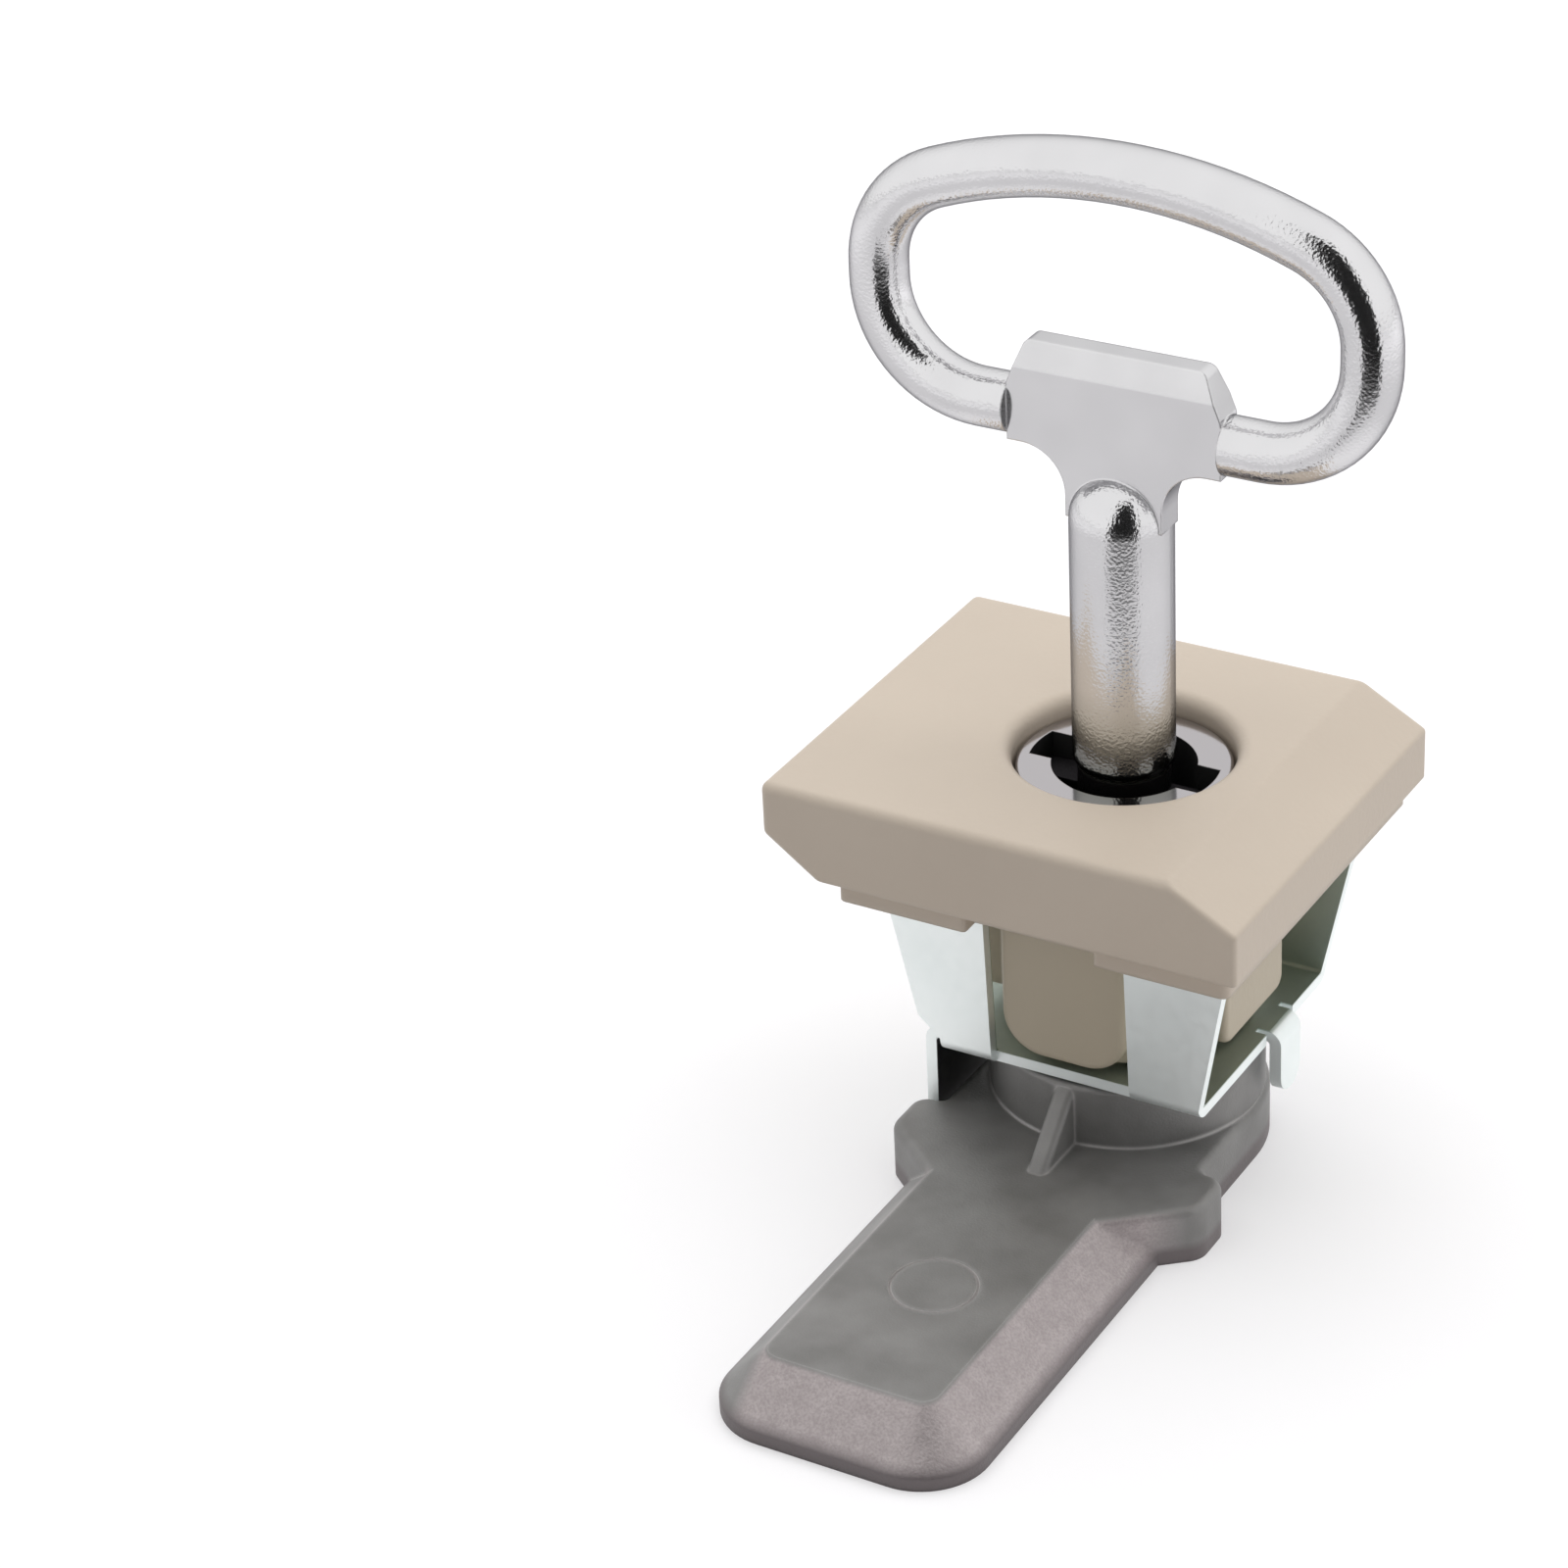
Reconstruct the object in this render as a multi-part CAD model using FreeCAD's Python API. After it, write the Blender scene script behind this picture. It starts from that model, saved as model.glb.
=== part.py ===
import FreeCAD, Part

import math
import os

# Quarter-turn cabinet lock with its double-bit key, in millimetres.
# The origin is on the spindle axis, on the underside of the cover's flange, where the door sheet lies.
# +Z points out of the door towards the key, and the cam points along -Y, its open position.

# Door sheet that the flange and the clip hold between them, and the hole cut in it
door_sheet = 1.5
cutout_gap = 0.3

# How far a cutting shape reaches past what it cuts
over = 1.0

# Cover plate, with the finger pull on its -X side and the wide bevel on its +X side
plate_height = 9.1
plate_overlap = 1.4
pull_overhang = 5.7
bevel_run = 6.8
bevel_drop = 3.8
pull_rim = 5.4
pull_run = 5.2
plate_round = 0.9
bevel_round = 0.5
rim_round = 0.3
recess_round = 1.3

# Flange under the plate
flange_height = 2.3
flange_corner = 0.8
flange_notch_depth = 2.0
flange_notch_side = 0.1
flange_notch_round = 0.4

# Flat seal let into the flange's underside, round the door's cut-out
seal_thickness = 1.0
seal_rim = 1.0
seal_front_rim = 2.2
seal_wall = 1.1
seal_corner = 1.5

# Housing body behind the door
tongue_half_width = 6.4
tongue_inset = 0.6
tongue_depth = 16.0
tongue_corner = 4.2
tongue_edge = 0.7
side_arm_rise = 1.3
side_arm_corner = 1.6
core_wall = 1.35
neck_wall = 2.25
neck_end_gap = 0.1

# Spindle: the bright cylinder that the key turns
head_radius = 10.1
head_gap = 0.35
head_sink = 1.87
head_foot = 1.2
head_edge = 0.3
socket_radius = 6.8
socket_depth = 8.0
slot_wall = 1.1
slot_width = 4.7
journal_shoulder = 0.35
journal_clearance = 0.05
square_side = 8.0
square_clearance = 0.05
screw_radius = 2.5
thread_clearance = 0.03
axial_play = 0.1

# Pin in the middle of the socket
pin_radius = 1.7
pin_sink = 0.85
pin_seat = 1.0
pin_dome = 1.35

# Ring seal round the spindle's head
ring_seal_wire = 0.75
ring_seal_gap = 0.15
groove_slack = 0.25
groove_floor = 1.2

# Spring clip, one bent sheet
sheet = 1.2
clip_half_y = 14.0
clip_taper = 3.1
clip_flare = 1.0
clip_side_gap = 0.8
web_edge_inset = 1.0
web_gap = 0.8
bend_radius = 0.4
leg_corner = 1.0
leg_foot_cut = 1.7
neck_hole_gap = 0.2
tab_side_gap = 0.7
tab_gap = 0.3
short_tab_width = 4.4
short_tab_rise = 0.8
short_tab_corner = 2.1
long_tab_width = 10.4
long_tab_lap = 2.3
long_tab_corner = 1.6
relief = 0.7

# Retaining ring that holds the clip on the housing's neck
ring_thickness = 1.0
ring_width = 1.3
ring_groove_depth = 0.6
ring_slack = 0.05
ring_opening = 5.0
ring_ear = 1.5

# Cam
cam_gap = 0.3
cam_height = 12.1
tower_wall = 1.8
tower_edge = 0.4
back_step = 0.4
panel_drop = 6.4
band_height = 1.4
ear_lap = 0.8
ear_back = 12.0
ear_width = 5.6
ear_back_round = 1.8
ear_front_round = 2.4
ear_root_round = 0.8
ear_edge = 0.9
waist_inset = 0.8
waist_run = 7.3
arm_inset = 0.5
arm_length = 59.9
arm_corner = 6.5
near_bevel = 4.9
far_bevel = 4.2
tip_bevel = 5.3
panel_corner = 1.6
rib_half = 1.0
rib_run = 6.2
rib_round = 0.6
mark_radius = 4.0
mark_y = 39.0
mark_wire = 0.16
cam_recess_depth = 2.2
screw_recess_gap = 0.7
screw_recess_depth = 6.0

# Washers and the cam screw
thrust_thickness = 0.8
thrust_width = 1.95
thrust_gap = 0.15
washer_lap = 0.2
washer_gap = 0.25
washer_thickness = 1.0
spring_washer_width = 1.85
spring_washer_thickness = 1.2
spring_washer_slit = 0.8
screw_head_flats = 8.0
screw_head_height = 3.2
screw_head_bevel = 0.5
screw_length = 11.0
screw_tip = 0.5

# Key, with heights measured from the cover's top
barrel_radius = 4.8
barrel_step = 0.45
barrel_edge = 0.8
barrel_lift = 0.35
bit_gap = 0.3
bit_side_gap = 0.65
bit_height = 5.5
key_floor_gap = 0.3
key_bore_gap = 0.25
key_bore_slack = 0.8
barrel_top = 23.2
web_half_thick = 1.65
web_bottom = 29.7
web_shoulder = 35.2
web_top = 39.65
web_half = 10.6
web_top_half = 8.8
web_top_round = 0.9
web_side_round = 1.0
web_bevel_height = 2.7
web_bevel_depth = 0.65
web_fillet = 4.4
loop_bar = 2.75
loop_half = 24.1
loop_bottom = 32.6
loop_top = 56.4
loop_low_radius = 10.1
loop_high_radius = 9.5
loop_side = 1.5

# Widths and radii worked out from the sizes above, from the spindle outwards
journal_radius = square_side / math.sqrt(2) + journal_shoulder
journal_bore = journal_radius + journal_clearance
square_half_hole = square_side / 2 + square_clearance
recess_radius = head_radius + head_gap
slot_radius = head_radius - slot_wall
core_radius = recess_radius + core_wall
neck_radius = journal_bore + neck_wall
ring_outer = neck_radius + ring_width
cam_recess_radius = ring_outer + ring_ear + cam_gap
tower_radius = cam_recess_radius + tower_wall
cam_back_radius = tower_radius + back_step
arm_half_width = cam_back_radius - arm_inset
panel_near = arm_half_width - near_bevel
panel_far = arm_half_width - far_bevel
panel_length = arm_length - tip_bevel
clip_half_x = cam_back_radius + tab_side_gap
clip_half_x_top = clip_half_x + clip_taper
clip_gap_half = tongue_half_width + clip_side_gap
tongue_reach = clip_half_y - tongue_inset
cutout_half_x = clip_half_x_top + cutout_gap
cutout_half_y = clip_half_y + cutout_gap
seal_half_x = cutout_half_x + seal_rim
seal_half_y = cutout_half_y + seal_front_rim
flange_half_x = seal_half_x + seal_wall
notch_floor = seal_half_y + seal_wall
flange_half_y = notch_floor + flange_notch_depth
plate_half_x = flange_half_x + plate_overlap
plate_half_y = flange_half_y + plate_overlap
pull_reach = plate_half_x + pull_overhang
ear_half = clip_half_x + sheet + ear_lap
ear_front = ear_back + ear_width
waist_half = panel_near - waist_inset
waist_y = ear_front + waist_run
rib_reach = tower_radius + rib_run
washer_outer = square_half_hole * math.sqrt(2) + washer_lap
washer_inner = screw_radius + washer_gap
screw_recess_radius = washer_outer + screw_recess_gap
thrust_inner = journal_radius + thrust_gap
thrust_outer = thrust_inner + thrust_width
spring_washer_outer = washer_inner + spring_washer_width
nose_radius = barrel_radius - barrel_step
bit_reach = slot_radius - bit_gap
bit_half = slot_width / 2 - bit_side_gap
key_bore_radius = pin_radius + key_bore_gap

# Heights worked out from the sizes above, from the cover's top downwards
cover_top = flange_height + plate_height
face_z = cover_top - head_sink
socket_floor = face_z - socket_depth
seal_groove_z = socket_floor - groove_floor - groove_slack - ring_seal_wire
head_bottom = seal_groove_z - ring_seal_wire - groove_slack - head_foot
recess_floor = head_bottom - axial_play
leg_top = -door_sheet
body_end = -tongue_depth
side_arm_end = body_end + side_arm_rise
web_z = body_end - web_gap
clip_bottom = web_z - sheet
ring_top = clip_bottom - ring_slack
ring_bottom = ring_top - ring_thickness
tower_top = clip_bottom - cam_gap
cam_core_top = tower_top - cam_recess_depth
thrust_top = cam_core_top + thrust_thickness
neck_end = thrust_top + neck_end_gap
panel_z = tower_top - panel_drop
cam_bottom = tower_top - cam_height
band_top = cam_bottom + band_height
washer_top = cam_bottom + screw_recess_depth
spring_washer_top = washer_top - washer_thickness
screw_head_top = spring_washer_top - spring_washer_thickness

X = FreeCAD.Vector(1, 0, 0)
Y = FreeCAD.Vector(0, 1, 0)
Z = FreeCAD.Vector(0, 0, 1)
ORIGIN = FreeCAD.Vector(0, 0, 0)


def vec(x, y, z):
    return FreeCAD.Vector(x, y, z)


def box(x0, x1, y0, y1, z0, z1):
    return Part.makeBox(x1 - x0, y1 - y0, z1 - z0, vec(x0, y0, z0))


def rod(radius, z0, z1):
    """Round bar on the spindle axis."""
    return Part.makeCylinder(radius, z1 - z0, vec(0, 0, z0), Z)


def tube(outer, inner, z0, z1):
    return rod(outer, z0, z1).cut(rod(inner, z0, z1))


def corner_points(before, corner, after, radius):
    """Start, middle and end of the round that replaces one corner of an outline."""
    to_before = (before - corner).normalize()
    to_after = (after - corner).normalize()
    half = math.acos(max(-1.0, min(1.0, to_before.dot(to_after)))) / 2
    run = radius / math.tan(half)
    centre = corner + (to_before + to_after).normalize() * (radius / math.sin(half))
    middle = centre + (corner - centre).normalize() * radius
    return corner + to_before * run, middle, corner + to_after * run


def outline(corners, place):
    """Closed wire through (u, v, radius) corners, with each corner rounded by its radius."""
    points = [place(u, v) for u, v, radius in corners]
    count = len(corners)
    pieces = []
    for i in range(count):
        radius = corners[i][2]
        if radius > 0:
            before = points[i - 1]
            after = points[(i + 1) % count]
            pieces.append(corner_points(before, points[i], after, radius))
        else:
            pieces.append((points[i],))
    edges = []
    for i in range(count):
        if len(pieces[i]) == 3:
            edges.append(Part.Arc(*pieces[i]).toShape())
        start = pieces[i][-1]
        end = pieces[(i + 1) % count][0]
        if start.distanceToPoint(end) > 1e-6:
            edges.append(Part.makeLine(start, end))
    return Part.Wire(edges)


def flat_on_xy(z):
    return lambda u, v: vec(u, v, z)


def flat_on_xz(y):
    return lambda u, v: vec(u, y, v)


def flat_on_yz(x):
    return lambda u, v: vec(x, u, v)


def prism_z(corners, z0, z1):
    return Part.Face(outline(corners, flat_on_xy(z0))).extrude(Z * (z1 - z0))


def prism_y(corners, y0, y1):
    return Part.Face(outline(corners, flat_on_xz(y0))).extrude(Y * (y1 - y0))


def prism_x(corners, x0, x1):
    return Part.Face(outline(corners, flat_on_yz(x0))).extrude(X * (x1 - x0))


def block(half_x, half_y, corner, z0, z1):
    """Upright block round the axis with rounded corners."""
    corners = [
        (-half_x, -half_y, corner),
        (half_x, -half_y, corner),
        (half_x, half_y, corner),
        (-half_x, half_y, corner),
    ]
    return prism_z(corners, z0, z1)


def edges_where(shape, test):
    """Edges whose middle point passes a test."""
    found = []
    for edge in shape.Edges:
        middle = edge.valueAt((edge.FirstParameter + edge.LastParameter) / 2)
        if test(middle):
            found.append(edge)
    return found


def mirrored_x(corners):
    """The same corners on the other side of the YZ plane, in turning order."""
    return [(-u, v, radius) for u, v, radius in reversed(corners)]


def cover_plate():
    """Plate with its bevel, its finger pull and softly rounded edges."""
    section = [
        (-pull_reach, cover_top, 0),
        (-pull_reach, cover_top - pull_rim, 0),
        (-pull_reach + pull_run, flange_height, 0),
        (plate_half_x, flange_height, 0),
        (plate_half_x, cover_top - bevel_drop, 0),
        (plate_half_x - bevel_run, cover_top, 0),
    ]
    plate = prism_y(section, -plate_half_y, plate_half_y)
    above_rim = flange_height + rim_round
    bevel_middle = plate_half_x - bevel_run / 2
    plate = plate.makeFillet(
        plate_round,
        edges_where(plate, lambda p: p.z > above_rim and p.x < bevel_middle - plate_round),
    )
    plate = plate.makeFillet(
        bevel_round,
        edges_where(plate, lambda p: p.z > above_rim and p.x > bevel_middle - bevel_round),
    )
    return plate.makeFillet(rim_round, edges_where(plate, lambda p: p.z < above_rim - rim_round / 2))


def head_recess():
    """Space for the spindle's head, with a softly rounded mouth."""
    mouth = recess_radius + recess_round
    middle = recess_radius + recess_round * (1 - math.cos(math.pi / 4))
    middle_z = cover_top - recess_round * (1 - math.sin(math.pi / 4))
    above = cover_top + plate_round
    edges = [
        Part.makeLine(vec(0, 0, recess_floor), vec(recess_radius, 0, recess_floor)),
        Part.makeLine(vec(recess_radius, 0, recess_floor), vec(recess_radius, 0, cover_top - recess_round)),
        Part.Arc(
            vec(recess_radius, 0, cover_top - recess_round),
            vec(middle, 0, middle_z),
            vec(mouth, 0, cover_top),
        ).toShape(),
        Part.makeLine(vec(mouth, 0, cover_top), vec(mouth, 0, above)),
        Part.makeLine(vec(mouth, 0, above), vec(0, 0, above)),
        Part.makeLine(vec(0, 0, above), vec(0, 0, recess_floor)),
    ]
    return Part.Face(Part.Wire(edges)).revolve(ORIGIN, Z, 360)


def body_arm(end_z, corner):
    """One arm of the cross-shaped body, running through along Y down to end_z."""
    corners = [
        (-tongue_half_width, flange_height, 0),
        (-tongue_half_width, end_z, corner),
        (tongue_half_width, end_z, corner),
        (tongue_half_width, flange_height, 0),
    ]
    arm = prism_y(corners, -tongue_reach, tongue_reach)
    front_edges = edges_where(arm, lambda p: abs(abs(p.y) - tongue_reach) < 1e-6 and p.z < flange_height)
    return arm.makeFillet(tongue_edge, front_edges)


def flange_block():
    """Flange with a notch in the middle of its front and back sides."""
    flange = block(flange_half_x, flange_half_y, flange_corner, 0, flange_height)
    half = tongue_half_width + flange_notch_side
    notch = box(-half, half, notch_floor, flange_half_y + over, 0, flange_height)
    for side in (0, 180):
        flange = flange.cut(notch.copy().rotate(ORIGIN, Z, side))
    notch_front = edges_where(flange, lambda p: abs(abs(p.x) - half) < 1e-6 and abs(p.y) > flange_half_y - 1e-6)
    return flange.makeFillet(flange_notch_round, notch_front)


def cover_housing():
    """One casting: plate, flange, cross-shaped body and the neck that carries the clip."""
    flange = flange_block()
    along_y = body_arm(body_end, tongue_corner)
    along_x = body_arm(side_arm_end, side_arm_corner).rotate(ORIGIN, Z, 90)
    core = rod(core_radius, body_end, flange_height)
    neck = rod(neck_radius, neck_end, body_end)
    casting = cover_plate().fuse([flange, along_y, along_x, core, neck])
    casting = casting.cut(head_recess())
    casting = casting.cut(rod(journal_bore, neck_end, recess_floor))
    groove = tube(neck_radius + over, neck_radius - ring_groove_depth, ring_bottom - ring_slack, ring_top + ring_slack)
    casting = casting.cut(groove)
    return casting.cut(seal_outline(0, seal_thickness)).removeSplitter()


def seal_outline(z0, z1):
    outer = block(seal_half_x, seal_half_y, seal_corner, z0, z1)
    return outer.cut(block(cutout_half_x, cutout_half_y, seal_corner / 2, z0, z1))


def door_seal():
    return seal_outline(0, seal_thickness)


def seal_circle_radius():
    return recess_radius - ring_seal_gap - ring_seal_wire


def key_slots(z0, z1):
    """Double-bit keyhole: a round hole with one slot to each side."""
    slots = rod(slot_radius, z0, z1)
    slots = slots.common(box(-slot_radius, slot_radius, -slot_width / 2, slot_width / 2, z0, z1))
    return rod(socket_radius, z0, z1).fuse(slots).removeSplitter()


def spindle():
    """Bright cylinder with the keyhole, its journal and the square that drives the cam."""
    head = rod(head_radius, head_bottom, face_z)
    rims = edges_where(head, lambda p: abs(p.z - face_z) < 1e-6)
    head = head.makeFillet(head_edge, rims)
    head = head.cut(key_slots(socket_floor, face_z + over))
    groove_half = ring_seal_wire + groove_slack
    groove_radius = seal_circle_radius() - ring_seal_wire
    head = head.cut(tube(head_radius + over, groove_radius, seal_groove_z - groove_half, seal_groove_z + groove_half))
    journal = rod(journal_radius, cam_core_top, head_bottom)
    half = square_side / 2
    square_end = washer_top + axial_play
    square = box(-half, half, -half, half, square_end, cam_core_top)
    body = head.fuse([journal, square]).removeSplitter()
    body = body.cut(rod(pin_radius, socket_floor - pin_seat, socket_floor))
    hole_top = screw_head_top + screw_length + thread_clearance
    return body.cut(rod(screw_radius + thread_clearance, square_end, hole_top))


def centre_pin():
    """Domed pin in the socket that the key's bore slides over."""
    top = face_z - pin_sink
    pin = rod(pin_radius, socket_floor - pin_seat, top)
    return pin.makeFillet(pin_dome, edges_where(pin, lambda p: abs(p.z - top) < 1e-6))


def spindle_o_ring():
    return Part.makeTorus(seal_circle_radius(), ring_seal_wire, vec(0, 0, seal_groove_z), Z)


def clip_flare_at(z):
    """How far the legs lean out at a height."""
    return clip_flare * (z - clip_bottom) / (leg_top - clip_bottom)


def channel(inset, bottom, top):
    """Section of the clip's channel across Y, taken in from its outer faces by inset."""
    low = clip_half_y + clip_flare_at(bottom) - inset
    high = clip_half_y + clip_flare_at(top) - inset
    return [(-high, top, 0), (-low, bottom, bend_radius + sheet - inset),
            (low, bottom, bend_radius + sheet - inset), (high, top, 0)]


def clip_tab(width, end_z, y0, corner):
    """Tab bent down from the web's +X edge to end_z, beginning at y0."""
    bend_x = clip_half_x - bend_radius
    bend_z = clip_bottom - bend_radius
    outer = bend_radius + sheet
    ring = Part.makeCylinder(outer, width, vec(bend_x, y0, bend_z), Y)
    ring = ring.cut(Part.makeCylinder(bend_radius, width, vec(bend_x, y0, bend_z), Y))
    ring = ring.common(box(bend_x, bend_x + outer, y0, y0 + width, bend_z, bend_z + outer))
    corners = [
        (y0, bend_z, 0),
        (y0, end_z, corner),
        (y0 + width, end_z, corner),
        (y0 + width, bend_z, 0),
    ]
    blade = prism_x(corners, bend_x + bend_radius, bend_x + outer)
    return blade.fuse(ring)


def relief_notches(width, y0):
    """Slots in the web's edge beside a bent tab."""
    low = box(clip_half_x - sheet, clip_half_x + sheet, y0 - relief, y0, clip_bottom, web_z)
    high_y = y0 + width
    high = box(clip_half_x - sheet, clip_half_x + sheet, high_y, high_y + relief, clip_bottom, web_z)
    return low.fuse(high)


def stop_tab_y():
    """The short tab stops the cam's rib after a quarter turn."""
    return rib_half + tab_gap


def long_tab_y():
    """The long tab stands behind the cam's ear in the open position."""
    return -ear_back + tab_gap


def spring_clip():
    """Channel of sheet steel with four sprung legs and two stop tabs."""
    outer = prism_x(channel(0, clip_bottom, leg_top), -clip_half_x_top, clip_half_x_top)
    inner = prism_x(channel(sheet, web_z, leg_top), -clip_half_x_top, clip_half_x_top)
    bent = outer.cut(inner)
    leg_shape = [
        (-clip_half_x, clip_bottom, 0),
        (clip_half_x, clip_bottom, 0),
        (clip_half_x, web_z, 0),
        (clip_half_x_top, leg_top, leg_corner),
        (-clip_half_x_top, leg_top, leg_corner),
        (-clip_half_x, web_z, 0),
    ]
    reach = clip_half_y + clip_flare + sheet
    bent = bent.common(prism_y(leg_shape, -reach, reach))
    web_edge = clip_half_y - web_edge_inset
    bend_start = clip_half_y - sheet - bend_radius
    foot_z = web_z + bend_radius
    foot_cut = [
        (-clip_half_x - over, clip_bottom, 0),
        (-clip_half_x + leg_foot_cut, clip_bottom, 0),
        (-clip_half_x + leg_foot_cut, foot_z, 0),
        (-clip_half_x - over, foot_z + leg_foot_cut + over, 0),
    ]
    bent = bent.cut([prism_y(foot_cut, -reach, -bend_start), prism_y(foot_cut, bend_start, reach)])
    for turn in (0, 180):
        above_web = box(-clip_gap_half, clip_gap_half, bend_start, reach, web_z, leg_top)
        past_edge = box(-clip_gap_half, clip_gap_half, web_edge, reach, clip_bottom, web_z)
        bent = bent.cut(above_web.fuse(past_edge).rotate(ORIGIN, Z, turn))
    bent = bent.cut(rod(neck_radius + neck_hole_gap, clip_bottom, web_z))
    short_y = stop_tab_y()
    long_y = long_tab_y()
    long_cut = relief_notches(long_tab_width, long_y).mirror(ORIGIN, X)
    bent = bent.cut([relief_notches(short_tab_width, short_y), long_cut])
    long_tab = clip_tab(long_tab_width, panel_z - long_tab_lap, long_y, long_tab_corner).mirror(ORIGIN, X)
    short_tab = clip_tab(short_tab_width, panel_z + short_tab_rise, short_y, short_tab_corner)
    return bent.fuse([short_tab, long_tab]).removeSplitter()


def retaining_ring():
    """Open ring with two ears, sprung into the neck's groove."""
    inner = neck_radius - ring_groove_depth
    ring = rod(ring_outer, ring_bottom, ring_top)
    ears = box(-ring_opening / 2 - ring_ear, ring_opening / 2 + ring_ear, 0, ring_outer + ring_ear / 2,
               ring_bottom, ring_top)
    ring = ring.fuse(ears).removeSplitter().cut(rod(inner, ring_bottom, ring_top))
    return ring.cut(box(-ring_opening / 2, ring_opening / 2, 0, ring_outer + ring_ear, ring_bottom, ring_top))


def thrust_washer():
    """Slippery washer between the housing's neck and the cam."""
    return tube(thrust_outer, thrust_inner, cam_core_top, thrust_top)


def cam_hub():
    """Root of the cam with its two ears, and the round tower over it."""
    right = [
        (cam_back_radius, cam_back_radius, cam_back_radius),
        (cam_back_radius, -ear_back, ear_root_round),
        (ear_half, -ear_back, ear_back_round),
        (ear_half, -ear_front, ear_front_round),
        (waist_half, -waist_y, 0),
    ]
    hub = prism_z(right + mirrored_x(right), cam_bottom, panel_z)
    ear_rim = edges_where(
        hub,
        lambda p: abs(p.z - panel_z) < 1e-6 and p.y < -ear_back + 1e-6 and abs(p.x) > cam_back_radius,
    )
    hub = hub.makeFillet(ear_edge, ear_rim)
    tower = rod(tower_radius, panel_z, tower_top)
    tower = tower.makeFillet(tower_edge, edges_where(tower, lambda p: abs(p.z - tower_top) < 1e-6))
    return hub.fuse(tower)


def arm_outline(near, far, length, corner, z):
    """U-shaped outline of the arm at a height, from the hub out; near is its +X side."""
    root = -ear_front
    corners = [(near, root, 0), (-far, root, 0), (-far, -length, corner), (near, -length, corner)]
    return outline(corners, flat_on_xy(z))


def cam_arm():
    """Flat arm with a low band round its foot and wide bevels up to the panel."""
    foot = Part.Face(arm_outline(arm_half_width, arm_half_width, arm_length, arm_corner, cam_bottom))
    foot = foot.extrude(Z * band_height)
    low = arm_outline(arm_half_width, arm_half_width, arm_length, arm_corner, band_top)
    high = arm_outline(panel_near, panel_far, panel_length, panel_corner, panel_z)
    return foot.fuse(Part.makeLoft([low, high], True, True))


def cam_rib():
    """Sloping rib in front of the tower, which also meets the stop tab."""
    corners = [
        (0, panel_z, 0),
        (-rib_reach, panel_z, 0),
        (-tower_radius, tower_top - tower_edge, 0),
        (0, tower_top - tower_edge, 0),
    ]
    rib = prism_x(corners, -rib_half, rib_half)
    return rib.makeFillet(rib_round, edges_where(rib, lambda p: abs(p.x) > rib_half - 1e-6 and on_slope(p)))


def on_slope(point):
    """True on the rib's sloping top, between the tower and the panel."""
    return -rib_reach < point.y < -tower_radius and panel_z < point.z < tower_top - tower_edge


def cam():
    """Die-cast cam: tower and hub, ears, rib and bevelled arm."""
    casting = cam_hub().fuse([cam_arm(), cam_rib()]).removeSplitter()
    casting = casting.cut(rod(cam_recess_radius, cam_core_top, tower_top))
    half = square_half_hole
    casting = casting.cut(box(-half, half, -half, half, washer_top, cam_core_top))
    casting = casting.cut(rod(screw_recess_radius, cam_bottom, washer_top))
    mark = Part.makeTorus(mark_radius, mark_wire, vec(0, -mark_y, panel_z), Z)
    return casting.cut(mark)


def cam_washer():
    return tube(washer_outer, washer_inner, spring_washer_top, washer_top)


def spring_washer():
    """Split washer under the screw's head."""
    ring = tube(spring_washer_outer, washer_inner, screw_head_top, spring_washer_top)
    half = spring_washer_slit / 2
    return ring.cut(box(0, spring_washer_outer + over, -half, half, screw_head_top, spring_washer_top))


def cam_screw():
    """Hexagon screw that holds the cam on the spindle's square."""
    circle = screw_head_flats / math.sqrt(3)
    corners = [(circle * math.cos(math.radians(a)), circle * math.sin(math.radians(a)), 0)
               for a in range(0, 360, 60)]
    head_end = screw_head_top - screw_head_height
    head = prism_z(corners, head_end, screw_head_top)
    cone_foot = screw_head_flats / 2 - screw_head_bevel
    cone_height = circle + over - cone_foot
    cone = Part.makeCone(cone_foot, circle + over, cone_height, vec(0, 0, head_end), Z)
    head = head.common(cone.fuse(rod(circle + over, head_end + cone_height, screw_head_top)))
    end = screw_head_top + screw_length
    shank = rod(screw_radius, screw_head_top, end)
    shank = shank.makeChamfer(screw_tip, edges_where(shank, lambda p: abs(p.z - end) < 1e-6))
    return head.fuse(shank).removeSplitter()


def key_heights(z):
    """Height in the lock's frame of a height measured on the key from the cover's top."""
    return cover_top + z


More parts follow.
